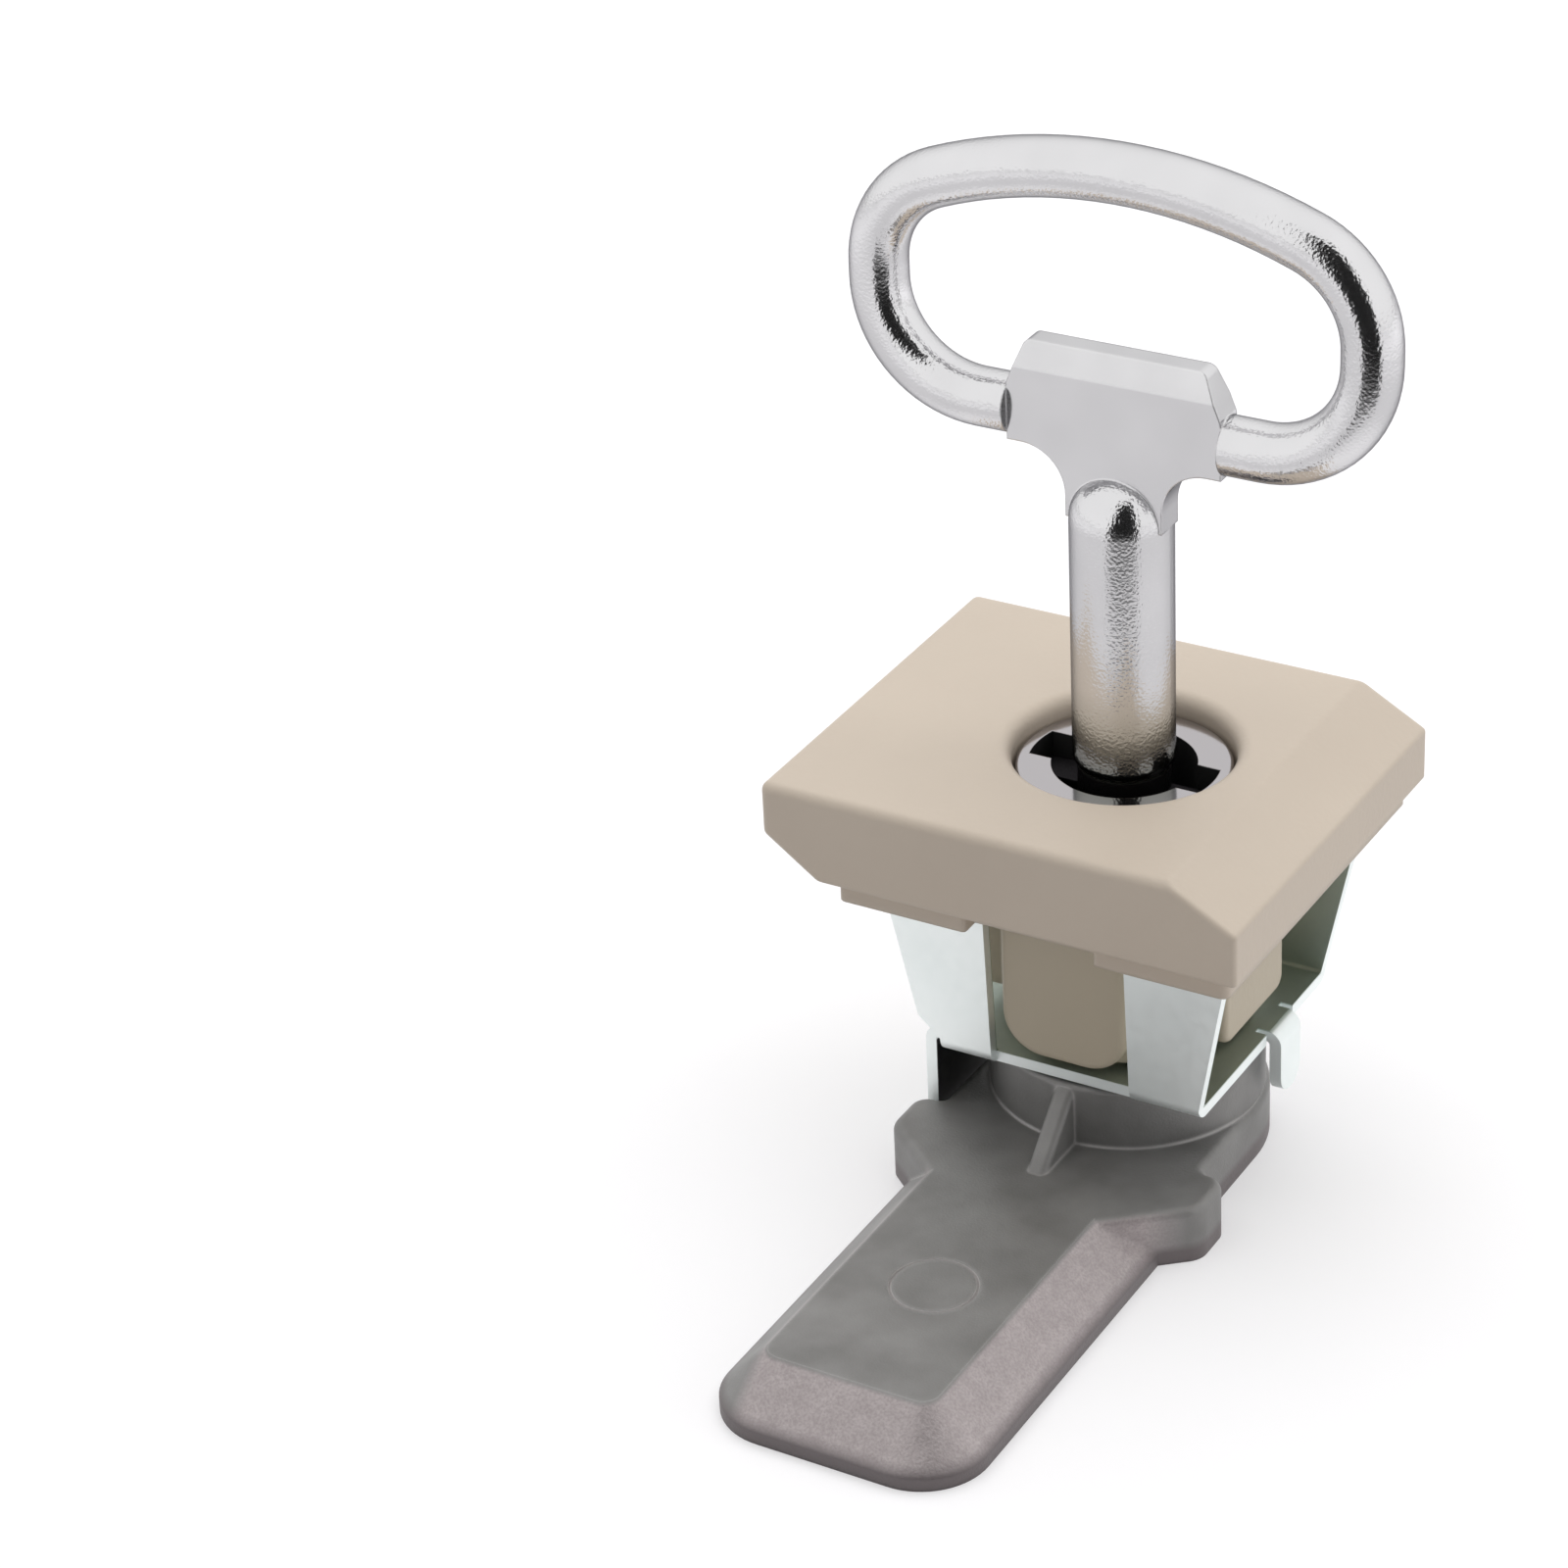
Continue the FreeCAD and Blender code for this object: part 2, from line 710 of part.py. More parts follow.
def key_loop():
    """Oval ring of the key, a round bar bent in the XZ plane."""
    low_z = key_heights(loop_bottom)
    top_z = key_heights(loop_top)
    low_c = low_z + loop_low_radius
    high_c = low_c + loop_side
    low_x = loop_half - loop_low_radius
    high_x = loop_half - loop_high_radius
    rise = top_z - high_c
    crown = (high_x ** 2 + rise ** 2 - loop_high_radius ** 2) / (2 * (rise - loop_high_radius))
    crown_z = top_z - crown
    lean = math.atan2(high_x, high_c - crown_z)
    join_x = crown * math.sin(lean)
    join_z = crown_z + crown * math.cos(lean)
    half_lean = (math.pi / 2 + lean) / 2
    mid_high = vec(high_x + loop_high_radius * math.sin(half_lean), 0, high_c + loop_high_radius * math.cos(half_lean))
    diagonal = loop_low_radius * math.sqrt(0.5)
    right = [
        Part.makeLine(vec(0, 0, low_z), vec(low_x, 0, low_z)),
        Part.Arc(vec(low_x, 0, low_z), vec(low_x + diagonal, 0, low_c - diagonal), vec(loop_half, 0, low_c)).toShape(),
        Part.makeLine(vec(loop_half, 0, low_c), vec(loop_half, 0, high_c)),
        Part.Arc(vec(loop_half, 0, high_c), mid_high, vec(join_x, 0, join_z)).toShape(),
        Part.Arc(vec(join_x, 0, join_z), vec(crown * math.sin(lean / 2), 0, crown_z + crown * math.cos(lean / 2)),
                 vec(0, 0, top_z)).toShape(),
    ]
    path = Part.Wire(right)
    section = Part.Wire([Part.makeCircle(loop_bar, vec(0, 0, low_z), X)])
    half = path.makePipeShell([section], True, False)
    return half.fuse(half.mirror(ORIGIN, X)).removeSplitter()


def key_web():
    """Flat block between the key's ring and its barrel, hollowed down to the barrel."""
    right = [
        (barrel_radius, key_heights(barrel_top), 0),
        (barrel_radius, key_heights(web_bottom), web_fillet),
        (web_half, key_heights(web_bottom), 0),
        (web_half, key_heights(web_shoulder), web_side_round),
        (web_top_half, key_heights(web_top), web_top_round),
    ]
    web = prism_y(right + mirrored_x(right), -web_half_thick, web_half_thick)
    top = key_heights(web_top)
    for side in (-1, 1):
        slope = [
            (side * web_half_thick, top - web_bevel_height, 0),
            (side * (web_half_thick + over), top - web_bevel_height, 0),
            (side * (web_half_thick + over), top + over, 0),
            (side * (web_half_thick - web_bevel_depth), top + over, 0),
            (side * (web_half_thick - web_bevel_depth), top, 0),
        ]
        web = web.cut(prism_x(slope, -web_half - over, web_half + over))
    return web


def flush_loop():
    """The key's ring, cut flat to the web's faces where it crosses the web."""
    ring = key_loop()
    low = key_heights(loop_bottom) - loop_bar - over
    high = key_heights(loop_bottom) + loop_bar + over
    for side in (-1, 1):
        y0 = min(side * web_half_thick, side * (loop_bar + over))
        y1 = max(side * web_half_thick, side * (loop_bar + over))
        ring = ring.cut(box(-web_half, web_half, y0, y1, low, high))
    return ring


def key():
    """Die-cast double-bit key: bits, bored barrel, web and oval ring."""
    tip = socket_floor + key_floor_gap
    shoulder = face_z + barrel_lift
    barrel = rod(barrel_radius, shoulder, key_heights(barrel_top))
    barrel = barrel.makeFillet(barrel_edge, edges_where(barrel, lambda p: abs(p.z - shoulder) < 1e-6))
    dome = Part.makeSphere(barrel_radius, vec(0, 0, key_heights(barrel_top)))
    nose = rod(nose_radius, tip, shoulder + barrel_edge)
    bits = box(-bit_reach, bit_reach, -bit_half, bit_half, tip, tip + bit_height)
    bits = bits.common(rod(bit_reach, tip, tip + bit_height))
    whole = key_web().fuse([flush_loop(), barrel, dome, nose, bits]).removeSplitter()
    bore_end = face_z - pin_sink + key_bore_slack
    return whole.cut(rod(key_bore_radius, tip, bore_end))


PARTS = {
    "cover_housing": cover_housing,
    "door_seal": door_seal,
    "spindle": spindle,
    "centre_pin": centre_pin,
    "spindle_o_ring": spindle_o_ring,
    "spring_clip": spring_clip,
    "retaining_ring": retaining_ring,
    "thrust_washer": thrust_washer,
    "cam": cam,
    "cam_washer": cam_washer,
    "spring_washer": spring_washer,
    "cam_screw": cam_screw,
    "key": key,
}

os.makedirs("parts", exist_ok=True)
for name, make in PARTS.items():
    shape = make()
    solids = shape.Solids
    box_ = shape.BoundBox
    print(name, "valid", shape.isValid(), "solids", len(solids), "volume", round(shape.Volume, 1),
          "z", round(box_.ZMin, 2), round(box_.ZMax, 2))
    shape.exportStep("parts/" + name + ".step")
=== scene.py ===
# %% [markdown]
# # A quarter-turn cabinet lock with its double-bit key
# The lock snaps into a hole in a cabinet's door. A painted cover lies on the door, a sprung sheet clip holds
# it from behind, and a key turns a bright spindle that swings a cast cam behind the cabinet's frame.
# The shapes come as solids from the part's own source, so this lesson is about what makes them look real:
# the camera, the light, and one finish for each material. Lengths are in metres, the way Blender keeps them.

# %% Load the lock
import bmesh
import bpy
import math
from mathutils import Matrix, Vector


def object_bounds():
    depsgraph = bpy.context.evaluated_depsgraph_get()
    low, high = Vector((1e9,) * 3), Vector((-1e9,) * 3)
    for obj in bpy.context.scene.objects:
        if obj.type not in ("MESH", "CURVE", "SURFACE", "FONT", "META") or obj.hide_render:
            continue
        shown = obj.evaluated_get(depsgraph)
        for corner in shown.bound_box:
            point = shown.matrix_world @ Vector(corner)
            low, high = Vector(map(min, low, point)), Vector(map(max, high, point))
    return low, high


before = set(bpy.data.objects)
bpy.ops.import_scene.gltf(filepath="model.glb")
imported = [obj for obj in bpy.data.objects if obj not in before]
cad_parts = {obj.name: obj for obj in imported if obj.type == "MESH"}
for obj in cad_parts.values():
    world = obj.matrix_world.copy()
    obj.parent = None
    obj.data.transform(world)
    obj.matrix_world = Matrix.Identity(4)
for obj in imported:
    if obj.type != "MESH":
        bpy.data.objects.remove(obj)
CAD_BOX = [list(corner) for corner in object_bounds()]
MM = 0.001
print("nodes:", ", ".join(sorted(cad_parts)))

# %% [markdown]
# ## The camera
# The photograph looks down on the lock from its front right, through a long lens that hardly narrows the
# far side. A camera is easiest to place by what it looks at: a target point, a distance, and two angles.
# The horizon is turned a little too, because the photograph was not quite level.

# %% Place the camera
PHOTO_TARGET = Vector((-25.4, -18.9, 10.6)) * MM
PHOTO_AZIMUTH = math.radians(31.73)
PHOTO_ELEVATION = math.radians(29.58)
PHOTO_ROLL = math.radians(-3.06)
PHOTO_DISTANCE = 422.1 * MM
LENS = 105.5
SENSOR = 36.0
FOUR_BY_FOUR = 4


def direction(azimuth, elevation):
    """Unit vector from the lock towards a place round it; azimuth 0 is the cam's side, -Y."""
    flat = math.cos(elevation)
    return Vector((math.sin(azimuth) * flat, -math.cos(azimuth) * flat, math.sin(elevation)))


camera_data = bpy.data.cameras.new("photo_camera")
camera_data.lens = LENS
camera_data.sensor_width = SENSOR
camera = bpy.data.objects.new("photo_camera", camera_data)
turn = Matrix.Rotation(PHOTO_AZIMUTH, FOUR_BY_FOUR, "Z")
tilt = Matrix.Rotation(math.pi / 2 - PHOTO_ELEVATION, FOUR_BY_FOUR, "X")
roll = Matrix.Rotation(PHOTO_ROLL, FOUR_BY_FOUR, "Z")
spot = PHOTO_TARGET + direction(PHOTO_AZIMUTH, PHOTO_ELEVATION) * PHOTO_DISTANCE
camera.matrix_world = Matrix.Translation(spot) @ turn @ tilt @ roll
bpy.context.collection.objects.link(camera)
bpy.context.scene.camera = camera
bpy.context.scene.view_settings.view_transform = "Standard"
print("camera at", [round(v / MM, 1) for v in spot], "mm")

# %% [markdown]
# ## Wiring a material
# A material is a small network of nodes. Each of their sockets holds a value of its own or a link from
# another node, and one helper serves both. A mask is a number from 0 to 1 that says how much of something a
# place gets. Nearly every mask below is a length that is moved from its own range to 0 to 1 by Map Range.

# %% Helpers for nodes
OPAQUE = 1.0


def new_material(name):
    """A material with its node tree and its Principled shader."""
    made = bpy.data.materials.new(name)
    made.use_nodes = True
    return made, made.node_tree, made.node_tree.nodes["Principled BSDF"]


def put(tree, value, socket):
    """Set a socket to a number or a colour, or link it to another socket."""
    if isinstance(value, (int, float)):
        socket.default_value = value
    elif isinstance(value, tuple):
        socket.default_value = value + (OPAQUE,)
    else:
        tree.links.new(value, socket)


def calculated(tree, operation, *values):
    """What a Math node makes of one or two numbers or sockets."""
    made = tree.nodes.new("ShaderNodeMath")
    made.operation = operation
    for value, socket in zip(values, made.inputs):
        put(tree, value, socket)
    return made.outputs[0]


def remapped(tree, value, low, high, to_low=0.0, to_high=1.0):
    """A value moved from one range to another and held within it."""
    made = tree.nodes.new("ShaderNodeMapRange")
    for title, number in (("From Min", low), ("From Max", high), ("To Min", to_low), ("To Max", to_high)):
        made.inputs[title].default_value = number
    tree.links.new(value, made.inputs["Value"])
    return made.outputs["Result"]


print("values and masks ready")

# %% [markdown]
# ## Mixing by a mask
# A Mix node goes from one value to another with a mask. It keeps sockets for every kind of value and hides
# all but one kind, so the sockets of a kind are found by their numbers: its two inputs and its output.

# %% Helpers for mixing
MIX_SOCKETS = {"FLOAT": (2, 3, 0), "RGBA": (6, 7, 2)}


def mixed(tree, kind, mask, low, high):
    """A value of a kind that goes from low to high with a mask; either may be a plain value or a socket."""
    low_at, high_at, out_at = MIX_SOCKETS[kind]
    made = tree.nodes.new("ShaderNodeMix")
    made.data_type = kind
    tree.links.new(mask, made.inputs["Factor"])
    put(tree, low, made.inputs[low_at])
    put(tree, high, made.inputs[high_at])
    return made.outputs[out_at]


def value_mix(tree, mask, low, high):
    """A number between low and high."""
    return mixed(tree, "FLOAT", mask, low, high)


def colour_mix(tree, mask, low, high):
    """A colour between low and high."""
    return mixed(tree, "RGBA", mask, low, high)


print("mixes", ", ".join(MIX_SOCKETS))

# %% [markdown]
# ## The white table
# The lock stands on its cam on a white table with no edge in sight. A plane far larger than the lock does
# for that. Its colour is lit by the lamps, so it keeps the lock's shadow, and a little light of its own
# lifts it to white for the camera, without lighting the lock. Far away the lift is full, because no lamp
# reaches there. Mirrors see the lift close to the lock, where the clip's legs look, and far away. Between
# them they see the plain lit table, which greys the key's web.

# %% Paint the table
WHITE = (1.0, 1.0, 1.0)
FLOOR_COLOUR = (0.665, 0.658, 0.670)
FLOOR_ROUGHNESS = 0.55
LIFT_SEEN = 0.35
LIFT_SEEN_FAR = 1.0
LIFT_ON_LOCK = 0.0
FAR_RANGE = (0.45, 0.9)
POOL_REACH = 0.40
LIFT_MIRRORED = ((0.125, 0.36), (0.25, 0.04), (0.40, 0.04), (0.85, 0.30))


def by_ray(tree, seen, mirrored, other):
    """A strength by the kind of ray: the camera's, one from a mirror or glass, or any other."""
    path = tree.nodes.new("ShaderNodeLightPath")
    bounced = calculated(tree, "MAXIMUM", path.outputs["Is Glossy Ray"], path.outputs["Is Transmission Ray"])
    return value_mix(tree, path.outputs["Is Camera Ray"], value_mix(tree, bounced, other, mirrored), seen)


floor_paint, tree, shader = new_material("white_table")
place = tree.nodes.new("ShaderNodeTexCoord")
away = tree.nodes.new("ShaderNodeVectorMath")
away.operation = "LENGTH"
tree.links.new(place.outputs["Object"], away.inputs[0])
distance = away.outputs["Value"]

pool = tree.nodes.new("ShaderNodeValToRGB")
stops = pool.color_ramp.elements
stops.remove(stops[1])
for share, level in LIFT_MIRRORED:
    stops.new(share).color = (level, level, level, OPAQUE)
stops.remove(stops[0])
tree.links.new(calculated(tree, "MULTIPLY", distance, 1 / POOL_REACH), pool.inputs["Fac"])
lift_seen = remapped(tree, distance, *FAR_RANGE, LIFT_SEEN, LIFT_SEEN_FAR)

put(tree, FLOOR_COLOUR, shader.inputs["Base Color"])
put(tree, FLOOR_ROUGHNESS, shader.inputs["Roughness"])
put(tree, WHITE, shader.inputs["Emission Color"])
lift = by_ray(tree, lift_seen, pool.outputs["Color"], LIFT_ON_LOCK)
put(tree, lift, shader.inputs["Emission Strength"])
floor_paint.cycles.emission_sampling = "NONE"
print("table lift", LIFT_SEEN, "near and", LIFT_SEEN_FAR, "far")

# %% Lay the table
FLOOR_HALF = 3.0


def sheet_object(name, shape, finish):
    """An object in the scene made from a bmesh, with one material."""
    mesh = bpy.data.meshes.new(name)
    shape.to_mesh(mesh)
    shape.free()
    mesh.materials.append(finish)
    made = bpy.data.objects.new(name, mesh)
    bpy.context.collection.objects.link(made)
    return made


floor_height = CAD_BOX[0][2]
under_the_cam = Matrix.Translation((0, 0, floor_height))
floor_shape = bmesh.new()
bmesh.ops.create_grid(floor_shape, x_segments=1, y_segments=1, size=FLOOR_HALF, matrix=under_the_cam)
floor = sheet_object("floor", floor_shape, floor_paint)
print("floor at", round(floor_height / MM, 2), "mm")

# %% [markdown]
# ## The room
# Everything round the table is white too. The world shows white to the camera and to mirrors. It lights dull
# surfaces more softly, so that the lamps can still model the faces.

# %% Set the world
WORLD_SEEN = 1.0
WORLD_LIGHT = 0.38

world = bpy.data.worlds.new("white_room")
bpy.context.scene.world = world
world.use_nodes = True
tree = world.node_tree
background = tree.nodes["Background"]
put(tree, WHITE, background.inputs["Color"])
put(tree, by_ray(tree, WORLD_SEEN, WORLD_SEEN, WORLD_LIGHT), background.inputs["Strength"])
world.cycles.sampling_method = "NONE"
print("world lights at", WORLD_LIGHT)

# %% [markdown]
# ## The lamps
# The cover's top is the brightest painted face, its right side comes close and its front is much darker. So
# the main lamp hangs over the lock, a second one stands to its right, and a weak third one gives the far
# sides some shape. Large lamps give the soft shadow edges of a product photograph. Mirrors don't see them,
# because a lamp would add to the white room behind it and burn out the chrome.

# %% Hang three soft boxes
LAMPS = {
    "soft_box_above": {"azimuth": 198, "elevation": 76, "distance": 0.7, "size": 1.3, "power": 6.7},
    "soft_box_right": {"azimuth": 120, "elevation": 16, "distance": 0.9, "size": 0.6, "power": 1.8},
    "soft_box_left": {"azimuth": -100, "elevation": 40, "distance": 0.9, "size": 0.6, "power": 0.5},
}


def standing(place, aim):
    """The matrix of a thing at a place with its own Z along the aim and its own Y up."""
    return Matrix.Translation(place) @ aim.to_track_quat("Z", "Y").to_matrix().to_4x4()


for name, facts in LAMPS.items():
    lamp_data = bpy.data.lights.new(name, "AREA")
    lamp_data.shape = "SQUARE"
    lamp_data.size = facts["size"]
    lamp_data.energy = facts["power"]
    lamp = bpy.data.objects.new(name, lamp_data)
    aim = direction(math.radians(facts["azimuth"]), math.radians(facts["elevation"]))
    lamp.matrix_world = standing(aim * facts["distance"], aim)
    lamp.visible_glossy = False
    bpy.context.collection.objects.link(lamp)
    print(name, facts["power"], "W")

# %% [markdown]
# ## The dark side of the room
# A mirror with nothing dark to show looks like pale plastic. In the photograph the chromed key has dark
# streaks wherever it mirrors the near side of the room, where no white was hung. A dark card hangs there,
# wide below and cut away at its upper left, and its colour fades to grey near the table. Only mirrors see
# it: it casts no shadow, and the camera looks past it.

# %% Paint the card
CARD_BOTTOM = -0.028
CARD_BLACK_FROM = 0.010
CARD_GREY = 0.42
CARD_BLACK = 0.02
CARD_SHINE = 0.0

card_paint, tree, shader = new_material("dark_card")
place = tree.nodes.new("ShaderNodeTexCoord")
heights = tree.nodes.new("ShaderNodeSeparateXYZ")
tree.links.new(place.outputs["Object"], heights.inputs[0])
fade = remapped(tree, heights.outputs["Z"], CARD_BOTTOM, CARD_BLACK_FROM, CARD_GREY, CARD_BLACK)
put(tree, fade, shader.inputs["Base Color"])
put(tree, CARD_SHINE, shader.inputs["Specular IOR Level"])
print("card from", CARD_GREY, "to", CARD_BLACK)

# %% Hang the card
CARD_AZIMUTH = math.radians(27)
CARD_DISTANCE = 0.11
CARD_HALF_WIDTH = 0.070
CARD_TOP = 0.215
CARD_TOP_WIDTH = 0.5

card_aim = direction(CARD_AZIMUTH, 0)
card_half_height = (CARD_TOP - CARD_BOTTOM) / 2
card_middle = card_aim * CARD_DISTANCE + Vector((0, 0, CARD_BOTTOM + card_half_height))
card_shape = bmesh.new()
bmesh.ops.create_grid(card_shape, x_segments=1, y_segments=1, size=1)
upper_corners = [corner for corner in card_shape.verts if corner.co.y > 0]
bmesh.ops.scale(card_shape, vec=(CARD_TOP_WIDTH, 1, 1), verts=upper_corners)
bmesh.ops.translate(card_shape, vec=(1 - CARD_TOP_WIDTH, 0, 0), verts=upper_corners)
bmesh.ops.scale(card_shape, vec=(CARD_HALF_WIDTH, card_half_height, 1), verts=card_shape.verts)
bmesh.ops.transform(card_shape, matrix=standing(card_middle, card_aim), verts=card_shape.verts)
card = sheet_object("dark_card", card_shape, card_paint)
for ray in ("camera", "diffuse", "shadow", "transmission"):
    setattr(card, "visible_" + ray, False)
print("dark card", 2 * CARD_HALF_WIDTH, "by", round(2 * card_half_height, 3), "m")

# %% [markdown]
# ## Shared effects
# Two effects come back in nearly every finish. One is fine grain with slow blotches, which castings, blasted
# metal and powder paint all have at their own scale. The other finds the edges, where paint is thinner and
# metal is rubbed bright, and where some finishes also paint a highlight. Both are node groups with named
# sockets, so each finish sets its own numbers.
# The grain reads Object coordinates in millimetres, so it stays on the piece when the piece turns.

# %% A group for grain
NUMBER = "NodeSocketFloat"
VECTOR = "NodeSocketVector"
SPECKLE_RANGE = (0.35, 0.65)
BLOTCH_RANGE = (0.3, 0.7)


def new_group(name, inputs, outputs):
    """An empty shader group with named number or vector sockets."""
    made = bpy.data.node_groups.new(name, "ShaderNodeTree")
    for in_out, sockets in (("INPUT", inputs), ("OUTPUT", outputs)):
        for title, kind in sockets.items():
            made.interface.new_socket(title, in_out=in_out, socket_type=kind)
    return made, made.nodes.new("NodeGroupInput").outputs, made.nodes.new("NodeGroupOutput").inputs


def noise(tree, vector, scale, detail):
    """Noise with sockets for its scale, in cells per millimetre, and for its detail."""
    made = tree.nodes.new("ShaderNodeTexNoise")
    tree.links.new(vector, made.inputs["Vector"])
    tree.links.new(scale, made.inputs["Scale"])
    tree.links.new(detail, made.inputs["Detail"])
    return made.outputs["Fac"]


grain, given, wanted = new_group(
    "grain",
    {"Fine Scale": NUMBER, "Fine Detail": NUMBER, "Blotch Scale": NUMBER},
    {"Speckle": NUMBER, "Blotch": NUMBER, "Height": NUMBER},
)
place = grain.nodes.new("ShaderNodeTexCoord")
in_mm = grain.nodes.new("ShaderNodeVectorMath")
in_mm.operation = "SCALE"
in_mm.inputs["Scale"].default_value = 1 / MM
grain.links.new(place.outputs["Object"], in_mm.inputs[0])
fine = noise(grain, in_mm.outputs[0], given["Fine Scale"], given["Fine Detail"])
slow = noise(grain, in_mm.outputs[0], given["Blotch Scale"], given["Fine Detail"])
grain.links.new(remapped(grain, fine, *SPECKLE_RANGE), wanted["Speckle"])
grain.links.new(remapped(grain, slow, *BLOTCH_RANGE), wanted["Blotch"])
grain.links.new(fine, wanted["Height"])
print("group", grain.name)

# %% A group for edges
# A Bevel node rounds the normal near an edge. Where it no longer agrees with the true one, an edge is near.
EDGE_SAMPLES = 6
AGREEMENT_RANGE = (0.98, 0.75)

edges, given, wanted = new_group("edges", {"Radius": NUMBER}, {"Edge": NUMBER, "Normal": VECTOR})
rounded = edges.nodes.new("ShaderNodeBevel")
rounded.samples = EDGE_SAMPLES
edges.links.new(given["Radius"], rounded.inputs["Radius"])
true_side = edges.nodes.new("ShaderNodeNewGeometry")
agree = edges.nodes.new("ShaderNodeVectorMath")
agree.operation = "DOT_PRODUCT"
edges.links.new(rounded.outputs["Normal"], agree.inputs[0])
edges.links.new(true_side.outputs["Normal"], agree.inputs[1])
edges.links.new(remapped(edges, agree.outputs["Value"], *AGREEMENT_RANGE), wanted["Edge"])
edges.links.new(rounded.outputs["Normal"], wanted["Normal"])
print("group", edges.name)

# %% [markdown]
# ## Building blocks for a finish
# Each finish mixes a few colours by masks, moves its roughness within a small range, and pushes its
# surface up and down by hundredths of a millimetre. These helpers keep a finish short enough to read at a
# glance. The first few bring in what a finish measures: its grain, its edges and its place on the piece.

# %% Helpers that measure
FINE_DETAIL = 3.0


def use_group(tree, group, numbers):
    """Place a group in a material with its own numbers."""
    made = tree.nodes.new("ShaderNodeGroup")
    made.node_tree = group
    for title, number in numbers.items():
        made.inputs[title].default_value = number
    return made.outputs


def grained(tree, fine, blotch, detail=FINE_DETAIL):
    """The grain group, with its fine grains and its slow blotches counted per millimetre."""
    return use_group(tree, grain, {"Fine Scale": fine, "Blotch Scale": blotch, "Fine Detail": detail})


def edged(tree, radius):
    """The edges group, with its radius in metres."""
    return use_group(tree, edges, {"Radius": radius})


def object_place(tree):
    """X, Y, Z and the distance from the lock's axis, in metres, by name."""
    place = tree.nodes.new("ShaderNodeTexCoord")
    parts = tree.nodes.new("ShaderNodeSeparateXYZ")
    tree.links.new(place.outputs["Object"], parts.inputs[0])
    flat = tree.nodes.new("ShaderNodeCombineXYZ")
    for title in ("X", "Y"):
        tree.links.new(parts.outputs[title], flat.inputs[title])
    length = tree.nodes.new("ShaderNodeVectorMath")
    length.operation = "LENGTH"
    tree.links.new(flat.outputs[0], length.inputs[0])
    sides = {title: parts.outputs[title] for title in ("X", "Y", "Z")}
    return {**sides, "Radius": length.outputs["Value"]}


print("fine detail", FINE_DETAIL)

# %% [markdown]
# The others put a finish on: they multiply masks, give the shader its sockets, press the grain into the
# surface, and hang the finish on the CAD pieces. A CAD piece keeps its mesh, and only its slots change.

# %% Helpers that finish
METAL = 1.0
NO_METAL = 0.0


def product(tree, first, *others):
    """Masks multiplied; a plain number among the others weakens the mask."""
    for other in others:
        first = calculated(tree, "MULTIPLY", first, other)
    return first


def coat(tree, shader, colour, roughness, metallic):
    """Give the shader its colour, its roughness and how far it is a metal."""
    put(tree, colour, shader.inputs["Base Color"])
    put(tree, roughness, shader.inputs["Roughness"])
    put(tree, metallic, shader.inputs["Metallic"])


def bumped(tree, shader, height, depth, normal=None):
    """Push the surface by a height in the range 0 to 1, times a depth in metres."""
    made = tree.nodes.new("ShaderNodeBump")
    made.inputs["Distance"].default_value = depth
    made.inputs["Strength"].default_value = 1
    tree.links.new(height, made.inputs["Height"])
    if normal is not None:
        tree.links.new(normal, made.inputs["Normal"])
    tree.links.new(made.outputs["Normal"], shader.inputs["Normal"])


def dress(finish, *nodes):
    """Give CAD nodes a finish through their material slots."""
    for name in nodes:
        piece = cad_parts[name]
        for slot in piece.material_slots:
            slot.material = finish
    print(finish.name, "on", ", ".join(nodes))


print("pieces to finish:", len(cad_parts))

# %% [markdown]
# ## Beige powder paint
# The cover and the cross-shaped body behind the door are one casting, sprayed with beige powder and baked.
# Powder flows into a faint orange peel and pulls thin over sharp edges, which are painted lighter, partly
# for the thinner coat and partly as a painted highlight.
# The body under the flange is painted darker and yellower as painted shade under the cover.

# %% Paint the casting
PAINT_DEEP = (0.585, 0.500, 0.410)
PAINT = (0.607, 0.522, 0.430)
PAINT_THIN_AND_HIGHLIT_EDGE = (0.66, 0.585, 0.495)
PAINT_PAINTED_SHADE_BEHIND = (0.545, 0.475, 0.360)
BEHIND_RANGE = (0, -1 * MM)
EDGE_LIGHTENING = 0.5
PAINT_ROUGHNESS = (0.40, 0.48)
PEEL_SCALES = (1.6, 0.08)
PEEL_DEPTH = 0.03 * MM
PAINT_RIM = 0.5 * MM

cover_paint, tree, shader = new_material("cover_paint")
peel = grained(tree, *PEEL_SCALES)
rim = edged(tree, PAINT_RIM)
place = object_place(tree)
# Painted shade: the body below the flange is darker and yellower.
painted_shade_below_flange = remapped(tree, place["Z"], *BEHIND_RANGE)
front_colour = colour_mix(tree, peel["Blotch"], PAINT_DEEP, PAINT)
body_colour = colour_mix(tree, painted_shade_below_flange, front_colour, PAINT_PAINTED_SHADE_BEHIND)
# Edges are painted lighter: partly a thinner coat, partly a painted highlight.
thin_and_highlit = product(tree, rim["Edge"], EDGE_LIGHTENING)
colour = colour_mix(tree, thin_and_highlit, body_colour, PAINT_THIN_AND_HIGHLIT_EDGE)
coat(tree, shader, colour, value_mix(tree, peel["Blotch"], *PAINT_ROUGHNESS), NO_METAL)
bumped(tree, shader, peel["Height"], PEEL_DEPTH, rim["Normal"])
dress(cover_paint, "cover_housing")
